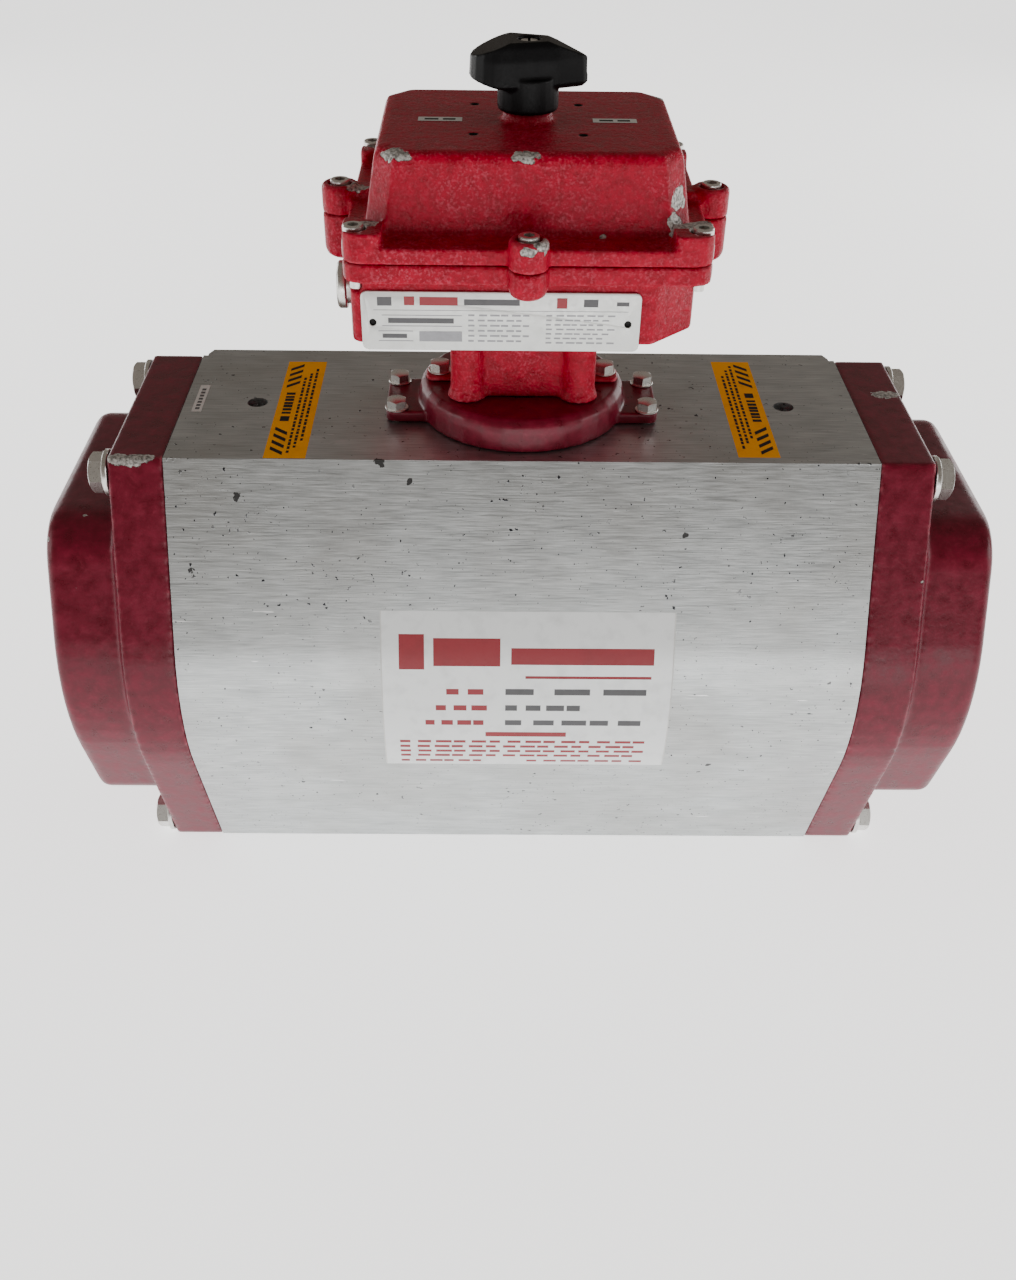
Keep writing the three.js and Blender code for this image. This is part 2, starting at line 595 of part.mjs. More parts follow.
function conduitPlug() {
  const head = turned([[11, -89.6], [11.6, -90.2], [11.6, -93.4], [10.6, -94.4]].reverse(), 24, 'x', [PLUG_Y, PLUG_Z]);
  const stem = rod(9.2, -90, -76, 20, 'x', [PLUG_Y, PLUG_Z]);
  return cut(union(head, stem), prism(hexagon(10, [PLUG_Y, PLUG_Z]), -99, -89.5, 'x'));
}
add('conduit_plug', conduitPlug(), STAINLESS);

function nameplate() {
  const plate = prism(rounded([
    [336, -80.5, 3], [365.5, -80.5, 3], [365.5, 55.5, 3], [336, 55.5, 3],
  ], 3), -71.5, -70.3, 'y');
  return cut(plate, rod(1.8, -75, -65, 10, 'y', [350, -75]), rod(1.8, -75, -65, 10, 'y', [350, 49.5]));
}
add('nameplate', nameplate(), STAINLESS);

export default group;
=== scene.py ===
"""Rotary pneumatic actuator: the looks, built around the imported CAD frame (metres, +Z up)."""
import json
import math

import bpy
from mathutils import Matrix, Vector


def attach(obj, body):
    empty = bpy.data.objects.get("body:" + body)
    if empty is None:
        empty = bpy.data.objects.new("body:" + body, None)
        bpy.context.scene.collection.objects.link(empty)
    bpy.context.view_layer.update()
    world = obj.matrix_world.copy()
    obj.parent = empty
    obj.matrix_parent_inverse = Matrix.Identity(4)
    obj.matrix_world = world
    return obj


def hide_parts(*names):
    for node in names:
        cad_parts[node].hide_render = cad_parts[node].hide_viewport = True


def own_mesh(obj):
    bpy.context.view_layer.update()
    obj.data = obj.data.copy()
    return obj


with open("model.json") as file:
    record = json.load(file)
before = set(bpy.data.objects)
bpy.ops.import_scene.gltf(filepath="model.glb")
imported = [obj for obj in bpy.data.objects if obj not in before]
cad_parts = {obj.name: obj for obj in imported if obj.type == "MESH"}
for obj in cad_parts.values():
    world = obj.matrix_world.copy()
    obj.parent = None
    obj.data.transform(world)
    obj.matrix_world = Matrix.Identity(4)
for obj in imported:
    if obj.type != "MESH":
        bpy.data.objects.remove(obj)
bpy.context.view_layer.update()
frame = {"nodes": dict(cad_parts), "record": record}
MM = 0.001

# ------------------------------------------------------------------ sizes of the frame, in mm
BODY_TOP = 272                 # height of the body's flat top
BODY_MIDDLE = 136              # height of the bore
TOP_HALF = 65                  # half the width of the flat top
BULGE_RADIUS = 111.5           # of the body's bulging sides
BULGE_HALF = 42.3              # how far the bulge reaches above and below the middle
FACET_DEPTH = 38.2             # how far a sloping facet leads out, from the top's edge to the bulge
FACET_HEIGHT = 93.7
CAP_FACE = 220                 # distance from the middle to the face under the cap bolts
CAP_BOLTS = ((-57, 259), (57, 259), (-57, 13), (57, 13))
EAR_TOP = 278.5                # face under the adapter bolts
ADAPTER_BOLTS = ((-69, -17), (69, -17), (69, 17), (-69, 17))
FOOT_TOP = 293                 # face under the two bolts of the monitor's foot
FOOT_BOLT_X = 45.5
COVER_FLANGE = 390             # face under the cover screws
COVER_SCREWS = (
    (-82.5, -67), (0, -79.4), (82.5, -67), (94.5, 0),
    (82.5, 67), (0, 79.4), (-82.5, 67), (-94.5, 0),
)
COVER_TOP = 425.5
COVER_HOLE = 26.3              # distance of the cover's small holes from its middle lines
WELD_GAP = 1e-6                # in metres: joins the corners that the frame's faces don't share

# ------------------------------------------------------------------ camera
CAMERA_AT = (-0.0177, -0.7068, 0.6131)
YAW = math.radians(0.72)      # turned towards +X from straight along +Y
PITCH = math.radians(38.97)   # looking down
ROLL = math.radians(0.82)


def make_camera():
    level = Vector((math.sin(YAW), math.cos(YAW), 0))
    forward = math.cos(PITCH) * level - math.sin(PITCH) * Vector((0, 0, 1))
    right = Vector((math.cos(YAW), -math.sin(YAW), 0))
    up = right.cross(forward)
    across = math.cos(ROLL) * right + math.sin(ROLL) * up
    upward = math.cos(ROLL) * up - math.sin(ROLL) * right
    data = bpy.data.cameras.new("camera")
    data.sensor_width = 36
    data.sensor_fit = "VERTICAL"
    data.sensor_height = 36
    data.lens = 38.0
    data.shift_x = 0.0055
    data.shift_y = 0.065
    camera = bpy.data.objects.new("camera", data)
    rotation = Matrix((across, upward, -forward)).transposed()
    camera.matrix_world = Matrix.Translation(CAMERA_AT) @ rotation.to_4x4()
    bpy.context.collection.objects.link(camera)
    bpy.context.scene.camera = camera


# ------------------------------------------------------------------ material nodes
class Surface:
    """A procedural material whose patterns run in the frame's own coordinates, in metres."""

    def __init__(self, name, roughness=0.5, metallic=0.0):
        self.material = bpy.data.materials.new(name)
        self.material.use_nodes = True
        self.tree = self.material.node_tree
        self.shader = self.tree.nodes["Principled BSDF"]
        self.set("Roughness", roughness)
        self.set("Metallic", metallic)
        self.place = self.tree.nodes.new("ShaderNodeTexCoord").outputs["Object"]

    def set(self, socket, value):
        self.join(value, self.shader.inputs[socket])

    def join(self, value, socket):
        if isinstance(value, bpy.types.NodeSocket):
            self.tree.links.new(value, socket)
        elif isinstance(value, (tuple, list)) and len(value) == 3 and socket.type == "RGBA":
            socket.default_value = (*value, 1)
        else:
            socket.default_value = value

    def vector(self, operation, a, b):
        node = self.tree.nodes.new("ShaderNodeVectorMath")
        node.operation = operation
        self.join(a, node.inputs[0])
        self.join(b, node.inputs[1])
        return node.outputs["Value" if operation == "DISTANCE" else "Vector"]

    def noise(self, size, detail=3.0, stretch=(1, 1, 1)):
        """Noise with features about size metres across, longer where stretch is larger."""
        node = self.tree.nodes.new("ShaderNodeTexNoise")
        scale = tuple(1 / (size * s) for s in stretch)
        self.join(self.vector("MULTIPLY", self.place, scale), node.inputs["Vector"])
        node.inputs["Scale"].default_value = 1.0
        node.inputs["Detail"].default_value = detail
        return node.outputs["Fac"]

    def math(self, operation, a, b):
        node = self.tree.nodes.new("ShaderNodeMath")
        node.operation = operation
        self.join(a, node.inputs[0])
        self.join(b, node.inputs[1])
        return node.outputs[0]

    def ramp(self, value, low, high, to_low=0.0, to_high=1.0):
        node = self.tree.nodes.new("ShaderNodeMapRange")
        self.join(value, node.inputs["Value"])
        node.inputs["From Min"].default_value = low
        node.inputs["From Max"].default_value = high
        node.inputs["To Min"].default_value = to_low
        node.inputs["To Max"].default_value = to_high
        return node.outputs["Result"]

    def mix(self, factor, a, b):
        node = self.tree.nodes.new("ShaderNodeMix")
        node.data_type = "RGBA"
        self.join(factor, node.inputs[0])
        self.join(a, node.inputs[6])
        self.join(b, node.inputs[7])
        return node.outputs[2]

    def bump(self, height, depth, below=None, sunk=False):
        node = self.tree.nodes.new("ShaderNodeBump")
        node.invert = sunk
        self.join(height, node.inputs["Height"])
        node.inputs["Distance"].default_value = depth
        if below is not None:
            self.join(below, node.inputs["Normal"])
        return node.outputs["Normal"]

    def spots(self, places, ragged=0.5, long=1.0):
        """Mask that is 1 within each (x, y, z, radius) in mm, with a torn edge, longer along X."""
        torn = self.ramp(self.noise(0.004, 5), 0.3, 0.7, -ragged, ragged)
        squeezed = self.vector("MULTIPLY", self.place, (1 / long, 1, 1))
        total = None
        for x, y, z, radius in places:
            away = self.vector("DISTANCE", squeezed, (x / long * MM, y * MM, z * MM))
            edge = self.math("ADD", self.math("DIVIDE", away, radius * MM), torn)
            mask = self.ramp(edge, 1.04, 0.96)
            total = mask if total is None else self.math("MAXIMUM", total, mask)
        return total

    def sharp_edges(self, low, high):
        """Mask of convex edges, from the shape itself."""
        geometry = self.tree.nodes.new("ShaderNodeNewGeometry")
        return self.ramp(geometry.outputs["Pointiness"], low, high)


def brushed_body():
    s = Surface("brushed_body", metallic=0.92)
    lines = s.noise(0.0006, 4, (26, 1, 1))
    long_lines = s.noise(0.0024, 3, (30, 1, 1))
    mottle = s.noise(0.009, 5, (2.5, 1, 1))
    cloud = s.noise(0.06, 4)
    streaked = s.ramp(lines, 0.3, 0.7, 0, 0.62)
    streaked = s.math("ADD", streaked, s.ramp(long_lines, 0.3, 0.7, 0, 0.16))
    streaked = s.math("ADD", streaked, s.ramp(mottle, 0.3, 0.7, 0, 0.30))
    base = s.mix(streaked, (0.30, 0.315, 0.318), (0.58, 0.60, 0.60))
    base = s.mix(s.ramp(cloud, 0.42, 0.68, 0, 0.35), base, (0.31, 0.30, 0.28))
    speckled_area = s.ramp(s.noise(0.04, 2), 0.44, 0.55)
    specks = s.math("MULTIPLY", s.ramp(s.noise(0.0030, 2), 0.69, 0.715), speckled_area)
    base = s.mix(specks, base, (0.035, 0.035, 0.04))
    base = s.mix(s.ramp(s.noise(0.0016, 1), 0.745, 0.765), base, (0.03, 0.03, 0.035))
    scratched_area = s.ramp(s.noise(0.05, 1), 0.52, 0.6)
    scratches = s.math("MULTIPLY", s.ramp(s.noise(0.0011, 2, (26, 1, 4)), 0.725, 0.75), scratched_area)
    base = s.mix(scratches, base, (0.85, 0.85, 0.85))
    marks = s.spots(BODY_MARKS, 0.7)
    s.set("Base Color", s.mix(marks, base, (0.07, 0.07, 0.07)))
    s.set("Roughness", s.ramp(lines, 0.3, 0.7, 0.30, 0.42))
    s.set("Normal", s.bump(lines, 0.00004, s.bump(specks, 0.0001)))
    return s.material


def red_paint(name, colour, dark, grain, depth, chips, rubbed, gloss):
    """Gloss paint over cast metal.

    grain and depth are the size and the height of its texture, chips are the places where the
    metal lies bare, and rubbed is the strength of the pale flecks."""
    s = Surface(name)
    coarse = s.noise(grain * 3.2, 4)
    fine = s.noise(grain, 4)
    base = s.mix(s.ramp(coarse, 0.35, 0.7), dark, colour)
    rubbed_area = s.ramp(s.noise(0.03, 2), 0.40, 0.60, 0.3, 1)
    flecks = s.math("MULTIPLY", s.ramp(fine, 0.50, 0.68, 0, rubbed), rubbed_area)
    base = s.mix(flecks, base, (0.60, 0.10, 0.15))
    # Paler red on convex edges: partly worn paint, partly a painted highlight along the edges.
    edge_wear_and_highlight_area = s.ramp(s.noise(0.006, 4), 0.45, 0.60, 0, 0.6)
    edge_wear_and_highlight = s.math("MULTIPLY", s.sharp_edges(0.52, 0.58), edge_wear_and_highlight_area)
    base = s.mix(edge_wear_and_highlight, base, (0.60, 0.13, 0.17))
    # Painted shade: near-black spots where the holes lie, standing for the shade inside them.
    painted_hole_shade = s.spots(HOLE_SHADE_SPOTS, 0.05)
    base = s.mix(painted_hole_shade, base, (0.006, 0.005, 0.005))
    bare = s.spots(chips, 0.32, 1.7)
    metal = s.mix(s.ramp(s.noise(0.0014, 4), 0.35, 0.65), (0.16, 0.15, 0.14), (0.58, 0.56, 0.53))
    s.set("Base Color", s.mix(bare, base, metal))
    s.set("Metallic", s.ramp(bare, 0, 1, 0, 0.7))
    paint_roughness = s.ramp(coarse, 0.3, 0.7, 0.26, 0.40)
    s.set("Roughness", s.math("ADD", paint_roughness, s.ramp(bare, 0, 1, 0, 0.25)))
    s.set("Specular IOR Level", gloss)
    cast = s.bump(fine, depth, s.bump(coarse, depth * 1.6))
    s.set("Normal", s.bump(bare, 0.0004, cast, sunk=True))
    return s.material


def steel(name, colour, roughness=0.32, spotting=0.2):
    s = Surface(name, metallic=1.0)
    wear = s.noise(0.004, 4)
    fine = s.noise(0.0006, 3)
    dull = tuple(0.45 * c for c in colour)
    s.set("Base Color", s.mix(s.ramp(wear, 0.45, 0.75, 0, spotting), colour, dull))
    s.set("Roughness", s.ramp(fine, 0.3, 0.7, roughness - 0.07, roughness + 0.10))
    s.set("Normal", s.bump(fine, 0.00003))
    return s.material


def plastic(name, colour, roughness=0.45, dusty=0.35, gloss=0.5):
    s = Surface(name)
    s.set("Specular IOR Level", gloss)
    texture = s.noise(0.0008, 3)
    dust = s.noise(0.012, 4)
    pale = tuple(0.06 + 0.8 * c for c in colour)
    s.set("Base Color", s.mix(s.ramp(dust, 0.5, 0.8, 0, dusty), colour, pale))
    s.set("Roughness", s.ramp(texture, 0.3, 0.7, roughness - 0.06, roughness + 0.08))
    s.set("Normal", s.bump(texture, 0.00003))
    return s.material


def film(name, colour, roughness=0.4, metallic=0.0, gloss=0.5):
    """Printed film or foil of a label, slightly soiled."""
    s = Surface(name, metallic=metallic)
    s.set("Specular IOR Level", gloss)
    soil = s.noise(0.009, 5)
    soiled = tuple(0.55 * c for c in colour)
    s.set("Base Color", s.mix(s.ramp(soil, 0.5, 0.8, 0, 0.4), colour, soiled))
    s.set("Roughness", s.ramp(s.noise(0.0015, 3), 0.3, 0.7, roughness - 0.05, roughness + 0.1))
    return s.material


# Places of painted shade in holes, of dark marks and of bare metal: (x, y, z, radius), in mm.
HOLE_SHADE_SPOTS = [(x, y, 425.3, 2.4) for x in (-COVER_HOLE, COVER_HOLE) for y in (-COVER_HOLE, COVER_HOLE)]
HOLE_SHADE_SPOTS += [(-75, -70, 350, 2.6), (49.5, -70, 350, 2.6)]
BODY_MARKS = [
    (-76, -66, 271, 2.6), (-60, -70, 262, 1.6), (-152, -72, 253, 2.2), (-178, -86, 216, 2.5),
    (88, -79, 236, 1.8), (-38, -98, 192, 1.4), (112, -103, 94, 1.8),
]
CAP_CHIPS = [
    (-213, -64, 271, 3.6), (-206, -65, 271.5, 4.2), (-199, -64.5, 272, 3.0), (211, 19, 272, 4.6),
    (219, -90, 214, 1.6), (-256, -72, 226, 1.6), (235, -97, 190, 1.5), (244, -98, 187, 1.8),
    (252, -98, 188, 1.2), (204, -99, 178, 1.4), (-243, -88, 205, 1.4), (-238, -62, 236, 1.2),
]
MONITOR_CHIPS = [
    (-66, -54, 425.5, 4.8), (-60, -56.5, 425, 3.2), (-2, -57, 425, 3.9), (76, -58, 394, 6.5),
    (72, -52, 404, 5.0), (80, -60, 395, 4.0), (-76, -62, 394.5, 3.6), (-86, -4, 394, 4.0),
    (5, -84, 394, 4.6), (0, -88, 391, 2.4), (36, -60, 389, 1.3), (72, 42, 424, 3),
    (-80, 61, 394, 3), (86, 66, 394, 2.5),
]
MATERIALS = {
    "brushed_body": brushed_body(),
    "cap_paint": red_paint(
        "cap_paint", (0.160, 0.0012, 0.018), (0.100, 0.0008, 0.010),
        grain=0.0022, depth=0.00007, chips=CAP_CHIPS, rubbed=0.05, gloss=0.32,
    ),
    "monitor_paint": red_paint(
        "monitor_paint", (0.38, 0.0008, 0.022), (0.25, 0.0004, 0.012),
        grain=0.0013, depth=0.00030, chips=MONITOR_CHIPS, rubbed=0.42, gloss=0.12,
    ),
    "stainless": steel("stainless", (0.66, 0.65, 0.62)),
    "dark_steel": steel("dark_steel", (0.22, 0.22, 0.23), 0.4),
    "machined_steel": steel("machined_steel", (0.45, 0.46, 0.47), 0.3),
    "spring_steel": steel("spring_steel", (0.10, 0.10, 0.11), 0.4),
    "piston_aluminium": steel("piston_aluminium", (0.62, 0.63, 0.64), 0.38, 0.1),
    "plate_metal": film("plate_metal", (0.62, 0.63, 0.61), 0.34, 0.5),
    "bronze": steel("bronze", (0.50, 0.32, 0.12), 0.38),
    "bearing_acetal": plastic("bearing_acetal", (0.76, 0.74, 0.66)),
    "seal_rubber": plastic("seal_rubber", (0.018, 0.018, 0.018), 0.6),
    "knob_plastic": plastic("knob_plastic", (0.003, 0.003, 0.0035), 0.38, dusty=0.1, gloss=0.12),
    "cam_plastic": plastic("cam_plastic", (0.62, 0.36, 0.03)),
    "switch_plastic": plastic("switch_plastic", (0.03, 0.035, 0.04)),
}
YELLOW = film("label_yellow", (0.92, 0.40, 0.001), 0.5, gloss=0.12)
BLACK_INK = film("label_black", (0.012, 0.011, 0.010), 0.5, gloss=0.12)
WHITE = film("label_white", (0.62, 0.62, 0.60), 0.4)
SILVER = film("label_silver", (0.74, 0.76, 0.76), 0.36, 0.25)
RED_INK = film("label_red", (0.26, 0.008, 0.016), 0.42)
GREY_INK = film("label_grey", (0.07, 0.07, 0.075), 0.45)


# ------------------------------------------------------------------ mesh helpers
def link_piece(name, mesh, materials, body, replaced=()):
    """Adds a piece that rides on a body, and may stand for CAD nodes."""
    piece = bpy.data.objects.new(name, mesh)
    for material in materials:
        mesh.materials.append(material)
    bpy.context.collection.objects.link(piece)
    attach(piece, body)
    if replaced:
        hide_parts(*replaced)
    return piece


def smooth_by_angle(mesh, degrees):
    """Smooth shading, but for edges sharper than this."""
    mesh.shade_smooth()
    mesh.set_sharp_from_angle(angle=math.radians(degrees))


def cast_copy(node, body, slot, voxel, rounds, keep):
    """The node's shape with the soft edges of a casting: remeshed, relaxed and thinned out.

    voxel is the remeshing's step in mm, rounds how often it is relaxed, keep the share of its
    triangles that stays."""
    source = frame["nodes"][node]
    mesh = source.data.copy()
    mesh.materials.clear()
    piece = link_piece(node + "_cast", mesh, [], body, [node])
    weld = piece.modifiers.new("weld", "WELD")
    weld.merge_threshold = WELD_GAP
    remesh = piece.modifiers.new("remesh", "REMESH")
    remesh.mode = "VOXEL"
    remesh.voxel_size = voxel * MM
    relax = piece.modifiers.new("relax", "SMOOTH")
    relax.factor = 0.5
    relax.iterations = rounds
    thin = piece.modifiers.new("thin", "DECIMATE")
    thin.ratio = keep
    graph = bpy.context.evaluated_depsgraph_get()
    result = bpy.data.meshes.new_from_object(piece.evaluated_get(graph), depsgraph=graph)
    piece.modifiers.clear()
    piece.data = result
    result.materials.clear()
    result.materials.append(MATERIALS[slot])
    smooth_by_angle(result, 60)
    return piece


RING_POINTS = 48


def ring_solid(rings):
    """Closed mesh through rings of (radius at angle, height at angle), with a flat face at each end."""
    vertices = []
    for radius, height in rings:
        for k in range(RING_POINTS):
            a = 2 * math.pi * k / RING_POINTS
            vertices.append((radius(a) * math.cos(a), radius(a) * math.sin(a), height(a)))
    faces = []
    for level in range(len(rings) - 1):
        low = level * RING_POINTS
        high = low + RING_POINTS
        for k in range(RING_POINTS):
            n = (k + 1) % RING_POINTS
            faces.append((low + k, low + n, high + n, high + k))
    last = (len(rings) - 1) * RING_POINTS
    faces.append(tuple(reversed(range(RING_POINTS))))
    faces.append(tuple(range(last, last + RING_POINTS)))
    return vertices, faces


def round_r(radius):
    """The same radius, or the same height, at every angle."""
    return lambda angle: radius


def hex_r(across):
    """Radius at each angle of a hexagon this wide across its flats."""
    return lambda angle: across / 2 / math.cos((angle + math.pi / 6) % (math.pi / 3) - math.pi / 6)


def hex_head(across, low, high):
    """Rings of a hexagon head whose corners are turned off at a slant."""
    outline = hex_r(across)
    land = across * 0.47

    def top(angle):
        return high - (outline(angle) - land) * 0.5

    return [(outline, round_r(low)), (outline, top), (round_r(land), round_r(high))]


def placed(vertices, at, axis):
    """Turns a shape built along +Z to run along axis, and moves it to at, from mm to metres."""
    turn = Vector((0, 0, 1)).rotation_difference(Vector(axis)).to_matrix()
    return [(turn @ Vector(v) + Vector(at)) * MM for v in vertices]


def fastener(node, parts, at, axis, angle=35):
    """A stainless fastener made of one or more ring solids, which stands for its CAD node."""
    vertices, faces = [], []
    for rings in parts:
        points, polygons = ring_solid(rings)
        start = len(vertices)
        vertices += placed(points, at, axis)
        faces += [tuple(start + i for i in polygon) for polygon in polygons]
    mesh = bpy.data.meshes.new(node + "_fine")
    mesh.from_pydata(vertices, [], faces)
    mesh.validate()
    link_piece(node + "_fine", mesh, [MATERIALS["stainless"]], "housing", [node])
    smooth_by_angle(mesh, angle)


def straight(radius, low, high, ease=0.0):
    """Rings of a plain cylinder, with its edges eased by so much."""
    if not ease:
        return [(round_r(radius), round_r(low)), (round_r(radius), round_r(high))]
    return [
        (round_r(radius - ease), round_r(low)), (round_r(radius), round_r(low + ease)),
        (round_r(radius), round_r(high - ease)), (round_r(radius - ease), round_r(high)),
    ]


# ------------------------------------------------------------------ fasteners
def make_fasteners():
    cap_bolt = [straight(12.5, 0.3, 3.1, 0.4), hex_head(19, 3.0, 11.0), straight(6, -60, 1)]
    for side, name in ((-1, "left"), (1, "right")):
        for i, (y, z) in enumerate(CAP_BOLTS, 1):
            fastener(f"{name}_cap_bolt_{i}", cap_bolt, (side * CAP_FACE, side * y, z), (side, 0, 0))

    small_head = [straight(6.4, 0.2, 1.0, 0.2), hex_head(10, 0.9, 5.6)]
    for i, (x, y) in enumerate(ADAPTER_BOLTS, 1):
        fastener(f"adapter_bolt_{i}", small_head + [straight(3, -19, 0.5)], (x, y, EAR_TOP), (0, 0, 1))
    for side, name in ((-1, "left"), (1, "right")):
        parts = small_head + [straight(3, -9, 0.5)]
        fastener(f"pedestal_bolt_{name}", parts, (side * FOOT_BOLT_X, 0, FOOT_TOP), (0, 0, 1))

    key = hex_r(5)
    socket_head = [
        (round_r(3), round_r(-24)), (round_r(3), round_r(0)), (round_r(5), round_r(0.2)),
        (round_r(5), round_r(5.4)), (round_r(4.5), round_r(5.9)), (key, round_r(5.9)), (key, round_r(2.6)),
    ]
    for i, (x, y) in enumerate(COVER_SCREWS, 1):
        fastener(f"cover_screw_{i}", [socket_head], (x, y, COVER_FLANGE), (0, 0, 1), angle=30)


# ------------------------------------------------------------------ springs
def make_springs():
    """Welded copies of the springs, in place of their CAD nodes."""
    for side, name in ((-1, "left"), (1, "right")):
        for kind in ("outer", "inner"):
            node = f"{name}_{kind}_spring"
            mesh = frame["nodes"][node].data.copy()
            piece = link_piece(node + "_coil", mesh, [], "housing", [node])
            weld = piece.modifiers.new("weld", "WELD")
            weld.merge_threshold = WELD_GAP
            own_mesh(piece)


# ------------------------------------------------------------------ labels
FILM = 0.02       # thickness of one printed layer
STRIP = 2.5       # height of the strips that let a label follow the bulge


def flat_point(origin, right, up, lift):
    """Maps label coordinates in mm to a point on a flat face, lifted by layer."""
    normal = Vector(right).cross(Vector(up))

    def point(u, v, layer):
        on_face = Vector(origin) + u * Vector(right) + v * Vector(up)
        return (on_face + (lift + FILM * layer) * normal) * MM

    return point


def front_point(u, v, layer):
    """Maps (x, z) in mm to the body's front surface: its bulging side and sloping facet."""
    above = v - BODY_MIDDLE
    if abs(above) <= BULGE_HALF:
        y = math.sqrt(BULGE_RADIUS ** 2 - above ** 2)
        outward = Vector((0, -y, above)).normalized()
    else:
        y = TOP_HALF + (BODY_TOP - v) * FACET_DEPTH / FACET_HEIGHT
        outward = Vector((0, -FACET_HEIGHT, FACET_DEPTH)).normalized()
    return (Vector((u, -y, v)) + (0.03 + FILM * layer) * outward) * MM


def label(name, point, areas, materials):
    """A printed label: areas are (material index, layer, four corners (u, v)), cut into strips."""
    vertices, faces, owners = [], [], []
    for material, layer, corners in areas:
        (u0, v0), (u1, v1), (u2, v2), (u3, v3) = corners
        steps = max(1, round(abs(v3 - v0) / STRIP))
        start = len(vertices)
        for k in range(steps + 1):
            t = k / steps
            vertices.append(point(u0 + (u3 - u0) * t, v0 + (v3 - v0) * t, layer))
            vertices.append(point(u1 + (u2 - u1) * t, v1 + (v2 - v1) * t, layer))
        for k in range(steps):
            a = start + 2 * k
            faces.append((a, a + 1, a + 3, a + 2))
            owners.append(material)
    mesh = bpy.data.meshes.new(name)
    mesh.from_pydata(vertices, [], faces)
    link_piece(name, mesh, materials, "housing")
    for polygon, owner in zip(mesh.polygons, owners):
        polygon.material_index = owner
    mesh.shade_smooth()


def bar(material, u0, v0, u1, v1, layer=1):
    """A rectangle of a label between two corners."""
    return (material, layer, ((u0, v0), (u1, v0), (u1, v1), (u0, v1)))


def broken_line(material, u0, u1, v, height, pieces):
    """A row of short bars that stands for a line of small print."""
    out = []
    step = (u1 - u0) / pieces
    for k in range(pieces):
        length = step * (0.58 + 0.30 * ((k * 7) % 5) / 4)
        out.append(bar(material, u0 + k * step, v, u0 + k * step + length, v + height))
    return out


def broken_column(material, u0, u1, v0, v1, pieces):
    """The same along the label's other direction."""
    out = []
    step = (v1 - v0) / pieces
    for k in range(pieces):
        length = step * (0.62 + 0.26 * ((k * 7) % 5) / 4)
        out.append(bar(material, u0, v0 + k * step, u1, v0 + k * step + length))
    return out


def hatched_labels():
    """The yellow stickers along the body's top, each with slanted bars at both ends."""
    areas = [bar(0, 0, 0, 22.5, 121, 0)]
    for k in range(4):
        low, high = 3.5 + 7.6 * k, 85.0 + 7.6 * k
        areas.append((1, 1, ((2.4, low + 6.2), (9.6, low), (9.6, low + 3.6), (2.4, low + 9.8))))
        areas.append((1, 1, ((2.4, high), (9.6, high + 6.2), (9.6, high + 9.8), (2.4, high + 3.6))))
    areas.append(bar(1, 3.6, 43, 8.6, 49))
    areas += broken_column(1, 3.6, 8.6, 52, 80, 7)
    for u, v0, v1, pieces in ((11.4, 6, 100, 22), (14.4, 12, 106, 24), (17.4, 20, 112, 20)):
        areas += broken_column(1, u, u + 1.5, v0, v1, pieces)
    for side, name, start in ((-1, "left", -64), (1, "right", 62)):
        face = flat_point((side * 137.5, start, BODY_TOP), (-side, 0, 0), (0, -side, 0), 0.03)
        label(f"hatched_label_{name}", face, areas, [YELLOW, BLACK_INK])


def small_tag():
    """The narrow white tag near the body's left end."""
    face = flat_point((-184.5, -10.5, BODY_TOP), (1, 0, 0), (0, 1, 0), 0.1)
    areas = [bar(0, 0, 0, 5.6, 34, 0)]
    areas += [bar(1, 1.6, 3 + 4 * k, 4.0, 5.6 + 4 * k) for k in range(7)]
    label("small_tag", face, areas, [WHITE, GREY_INK])


def front_label():
    """The large label on the body's front, in x and z of the frame."""
    x0, x1, z0, z1 = -77, 85, 94, 197
    areas = [bar(0, x0, z0, x1, z1, 0)]
    areas.append(bar(1, x0 + 10, z1 - 31, x0 + 24, z1 - 12))
    areas.append(bar(1, x0 + 29, z1 - 29, x0 + 66, z1 - 14))
    areas.append(bar(1, x0 + 72, z1 - 28, x1 - 11, z1 - 19))
    areas.append(bar(1, x0 + 80, z1 - 36, x1 - 12, z1 - 34.4))
    for k, (left, width) in enumerate(((36, 82), (30, 46), (24, 80))):
        v = z1 - 46 - 10.5 * k
        areas += broken_line(1, x0 + left, x0 + 60, v, 3.6, 2 + k)
        areas += broken_line(2, x0 + 69, x0 + 69 + width, v, 3.8, 3 + k)
    areas.append(bar(1, x0 + 58, z1 - 76, x0 + 104, z1 - 72.4))
    for k in range(4):
        areas += broken_line(1, x0 + 9, x1 - 9 - 6 * (k % 2), z1 - 81.5 - 4.3 * k, 2.1, 14)
    areas += broken_line(1, x0 + 9, x0 + 59, z0 + 3.2, 2.0, 6)
    areas += broken_line(1, x0 + 82, x0 + 152, z0 + 3.2, 2.0, 7)
    for u in (x0, x1 - 0.7):
        areas.append(bar(3, u, z0, u + 0.7, z1))
    label("front_label", front_point, areas, [SILVER, RED_INK, GREY_INK, WHITE])


def cover_tags():
    """Three small tags on the cover, at the ends of the pointer's travel and opposite one of them."""
    two_bars = [bar(0, 0, 0, 21.7, 7, 0), bar(1, 3.2, 2.2, 10.0, 4.8), bar(1, 12.2, 2.2, 18.4, 4.8)]
    one_bar = [bar(0, 0, 0, 21.7, 7, 0), bar(1, 4, 2.4, 17.6, 4.6)]
    for name, x, y, areas in (("left", -53.9, -5.5, two_bars), ("right", 32.2, -5.5, two_bars),
                              ("back", -10.8, 41.5, one_bar)):
        face = flat_point((x, y, COVER_TOP), (1, 0, 0), (0, 1, 0), 0.12)
        label(f"cover_tag_{name}", face, areas, [WHITE, BLACK_INK])


